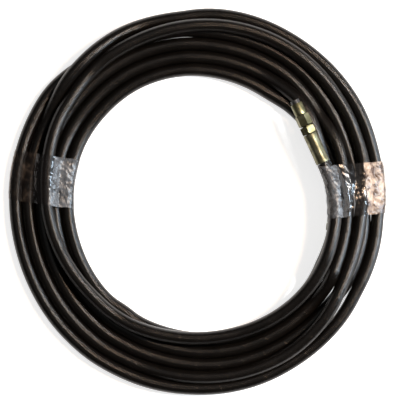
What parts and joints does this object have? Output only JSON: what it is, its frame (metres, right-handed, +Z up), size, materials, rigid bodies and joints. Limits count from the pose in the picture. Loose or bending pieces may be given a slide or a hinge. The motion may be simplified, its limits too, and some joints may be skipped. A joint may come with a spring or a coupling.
{
  "type": "hydraulic hose assembly",
  "caption": "Coiled rubber hydraulic hose with crimped swivel-nut fittings and dust plugs at both ends, held in a flat ring by bands of clear tape.",
  "frame": {"origin": "middle of the coil, on the flat surface it lies on", "axes": "+Z up, the coil's thin way; +Y along the upper end's fitting, towards its open end; +X from the middle of the coil towards that fitting"},
  "size_m": [0.384, 0.384, 0.0444],
  "materials": {
    "cover_rubber": "cloth-wrapped black rubber with a soft sheen",
    "liner_rubber": "smooth black",
    "braid_wire": "brass-coated steel wire",
    "yellow_zinc": "zinc plated with a pale yellow passivation",
    "spring_steel": "bright drawn wire",
    "seal_rubber": "smooth black",
    "plug_plastic": "moulded black",
    "clear_tape": "clear film, wrinkled"
  },
  "bodies": {
    "hose": {"hose_coil": "cover_rubber", "hose_tail_a": "cover_rubber", "hose_tail_b": "cover_rubber", "inner_tube_a": "liner_rubber", "inner_tube_b": "liner_rubber", "wire_braid_a": "braid_wire", "wire_braid_b": "braid_wire", "ferrule_a": "yellow_zinc", "ferrule_b": "yellow_zinc", "stem_a": "yellow_zinc", "stem_b": "yellow_zinc", "thrust_wire_a": "spring_steel", "thrust_wire_b": "spring_steel", "cone_seal_a": "seal_rubber", "cone_seal_b": "seal_rubber", "tape_left": "clear_tape", "tape_right": "clear_tape"},
    "nut_a": {"swivel_nut_a": "yellow_zinc"},
    "nut_b": {"swivel_nut_b": "yellow_zinc"},
    "plug_a": {"dust_plug_a": "plug_plastic"},
    "plug_b": {"dust_plug_b": "plug_plastic"}
  },
  "joints": [
    {"name": "nut_a_spin", "type": "hinge", "parent": "hose", "child": "nut_a", "pos_m": [0.1313, 0.0357, 0.034], "axis": [0, 1, 0], "continuous": true},
    {"name": "nut_b_spin", "type": "hinge", "parent": "hose", "child": "nut_b", "pos_m": [0.1088, -0.0909, 0.0083], "axis": [-0.5, -0.866, 0], "continuous": true},
    {"name": "plug_a_pull", "type": "slide", "parent": "nut_a", "child": "plug_a", "axis": [0, 1, 0], "range_m": [0, 0.014]},
    {"name": "plug_b_pull", "type": "slide", "parent": "nut_b", "child": "plug_b", "axis": [-0.5, -0.866, 0], "range_m": [0, 0.014]}
  ]
}
